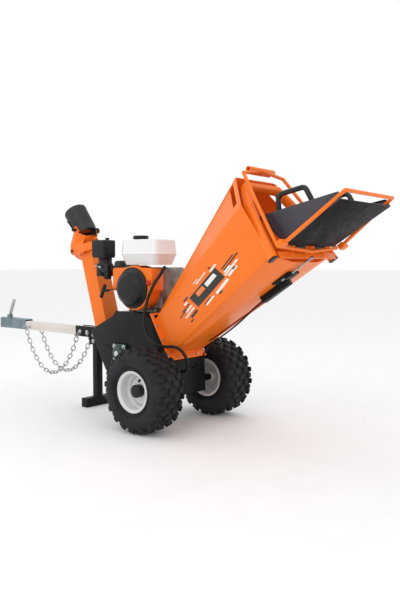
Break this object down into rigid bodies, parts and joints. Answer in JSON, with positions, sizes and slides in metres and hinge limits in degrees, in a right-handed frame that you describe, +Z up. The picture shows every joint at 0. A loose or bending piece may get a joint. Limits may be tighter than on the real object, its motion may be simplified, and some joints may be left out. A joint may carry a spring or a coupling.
{
  "type": "wood chipper",
  "caption": "Towable petrol wood chipper: sloping feed hopper with folding tray and stop bar, belt-driven rotor, turning discharge chute, two wheels, stand leg and ball coupler.",
  "frame": {"origin": "middle of the overall box, on the ground", "axes": "+X from the tow coupler to the feed tray, +Y the belt side, +Z up"},
  "size_m": [2.65, 0.716, 1.24],
  "materials": {
    "orange_paint": "gloss",
    "black_paint": "satin",
    "white_paint": "gloss",
    "cream_paint": "satin",
    "zinc": "satin",
    "steel": "machined",
    "tread_rubber": "matt",
    "rubber": "matt",
    "black_plastic": "satin",
    "charcoal_plastic": "satin",
    "grey_casting": "cast",
    "iron_casting": "cast",
    "red_plastic": "gloss"
  },
  "bodies": {
    "chassis": {"axle_beam": "black_paint", "side_plate_near": "black_paint", "side_plate_far": "black_paint", "chassis_panels": "black_paint", "rotor_housing": "black_paint", "bed_knife": "steel", "rotor_bearings": "iron_casting", "drive_belts": "rubber", "belt_guard": "black_paint", "drawbar_bracket": "black_paint", "drawbar": "cream_paint", "coupler_body": "zinc", "safety_chains": "zinc", "discharge_chute": "orange_paint", "hopper_shell": "orange_paint", "hopper_hoop": "orange_paint", "end_plugs": "black_plastic", "throat_curtain": "rubber", "mouth_sill": "orange_paint", "stop_hinge_plate": "orange_paint", "stop_bracket": "black_paint", "engine_block": "grey_casting", "fan_shroud": "orange_paint", "recoil_cover": "black_plastic", "fuel_tank": "white_paint", "air_cleaner": "black_plastic", "carburettor": "black_plastic", "muffler": "steel", "control_cable": "rubber", "frame_bolts": "zinc"},
    "wheel_near": {"tyre_near": "tread_rubber", "rim_near": "white_paint", "hub_cap_near": "black_plastic"},
    "wheel_far": {"tyre_far": "tread_rubber", "rim_far": "white_paint", "hub_cap_far": "black_plastic"},
    "rotor": {"rotor_shaft": "steel", "rotor_drum": "black_paint", "rotor_knives": "steel", "driven_pulley": "iron_casting"},
    "crank": {"crankshaft": "steel", "flywheel": "grey_casting", "drive_pulley": "iron_casting"},
    "elbow": {"chute_elbow": "orange_paint"},
    "deflector": {"deflector_tube": "charcoal_plastic"},
    "deflector_clamp": {"deflector_lever": "black_plastic"},
    "deflector_nut": {"deflector_knob": "black_plastic"},
    "swivel_clamp": {"swivel_lever": "black_plastic"},
    "tray": {"tray_sheet": "black_paint", "tray_grips": "rubber"},
    "stop_bar": {"stop_ring": "orange_paint", "stop_u_bar": "orange_paint"},
    "stop_push_rod": {"stop_rod": "zinc"},
    "latch": {"coupler_latch": "zinc"},
    "leg": {"stand_leg": "black_paint"},
    "cap": {"fuel_cap": "black_plastic"},
    "starter_handle": {"recoil_handle": "black_plastic"},
    "choke": {"choke_lever": "black_plastic"},
    "throttle": {"throttle_lever": "black_plastic"},
    "switch": {"engine_switch": "red_plastic"}
  },
  "joints": [
    {"name": "wheel_near_spin", "type": "hinge", "parent": "chassis", "child": "wheel_near", "pos_m": [0.265, -0.268, 0.205], "axis": [0, 1, 0], "continuous": true},
    {"name": "wheel_far_spin", "type": "hinge", "parent": "chassis", "child": "wheel_far", "pos_m": [0.265, 0.268, 0.205], "axis": [0, 1, 0], "continuous": true},
    {"name": "rotor_spin", "type": "hinge", "parent": "chassis", "child": "rotor", "pos_m": [-0.043, 0, 0.34], "axis": [0, 1, 0], "continuous": true},
    {"name": "crank_spin", "type": "hinge", "parent": "chassis", "child": "crank", "pos_m": [0.073, 0, 0.685], "axis": [0, 1, 0], "continuous": true},
    {"name": "chute_swivel", "type": "hinge", "parent": "chassis", "child": "elbow", "pos_m": [-0.418, 0, 0.902], "axis": [-0.2867, 0, 0.958], "continuous": true},
    {"name": "deflector_tilt", "type": "hinge", "parent": "elbow", "child": "deflector", "pos_m": [-0.47729, 0, 0.99857], "axis": [0, 1, 0], "range_deg": [-20, 20]},
    {"name": "deflector_lever_turn", "type": "hinge", "parent": "elbow", "child": "deflector_clamp", "pos_m": [-0.47729, -0.07, 0.99857], "axis": [0, 1, 0], "range_deg": [-60, 60]},
    {"name": "deflector_knob_turn", "type": "hinge", "parent": "elbow", "child": "deflector_nut", "pos_m": [-0.47729, 0.07, 0.99857], "axis": [0, 1, 0], "range_deg": [-180, 180]},
    {"name": "swivel_lever_turn", "type": "hinge", "parent": "elbow", "child": "swivel_clamp", "pos_m": [-0.48362, -0.03529, 0.85731], "axis": [-0.8683, -0.4226, -0.2598], "range_deg": [-60, 60]},
    {"name": "tray_fold", "type": "hinge", "parent": "chassis", "child": "tray", "pos_m": [1.009, 0, 0.877], "axis": [0, -1, 0], "range_deg": [0, 80]},
    {"name": "stop_bar_swing", "type": "hinge", "parent": "chassis", "child": "stop_bar", "pos_m": [0.75509, 0, 1.22702], "axis": [0, -1, 0], "range_deg": [0, 6]},
    {"name": "stop_rod_slide", "type": "slide", "parent": "chassis", "child": "stop_push_rod", "axis": [0.8387, 0, 0.5446], "range_m": [0, 0.0519]},
    {"name": "coupler_latch_turn", "type": "hinge", "parent": "chassis", "child": "latch", "pos_m": [-1.247, 0, 0.467], "axis": [0, 1, 0], "range_deg": [0, 60]},
    {"name": "leg_slide", "type": "slide", "parent": "chassis", "child": "leg", "axis": [0, 0, 1], "range_m": [0, 0.08]},
    {"name": "fuel_cap_turn", "type": "hinge", "parent": "chassis", "child": "cap", "pos_m": [0.053, -0.072, 0.94], "axis": [0, 0, 1], "range_deg": [0, 90]},
    {"name": "recoil_pull", "type": "slide", "parent": "chassis", "child": "starter_handle", "axis": [-0.9903, 0, -0.1392], "range_m": [0, 0.11], "stiffness_N_per_m": 60, "springref_m": -0.05},
    {"name": "choke_turn", "type": "hinge", "parent": "chassis", "child": "choke", "pos_m": [-0.174, -0.146, 0.789], "axis": [0, 1, 0], "range_deg": [-25, 25]},
    {"name": "throttle_turn", "type": "hinge", "parent": "chassis", "child": "throttle", "pos_m": [-0.174, -0.146, 0.755], "axis": [0, 1, 0], "range_deg": [-25, 25]},
    {"name": "engine_switch_turn", "type": "hinge", "parent": "chassis", "child": "switch", "pos_m": [0.19, -0.15, 0.713], "axis": [0, 1, 0], "range_deg": [0, 60]}
  ],
  "couplings": [
    {"joint": "crank_spin", "follows": "rotor_spin", "ratio": 1.4231},
    {"joint": "stop_rod_slide", "follows": "stop_bar_swing", "m_per_rad": 0.4879}
  ]
}
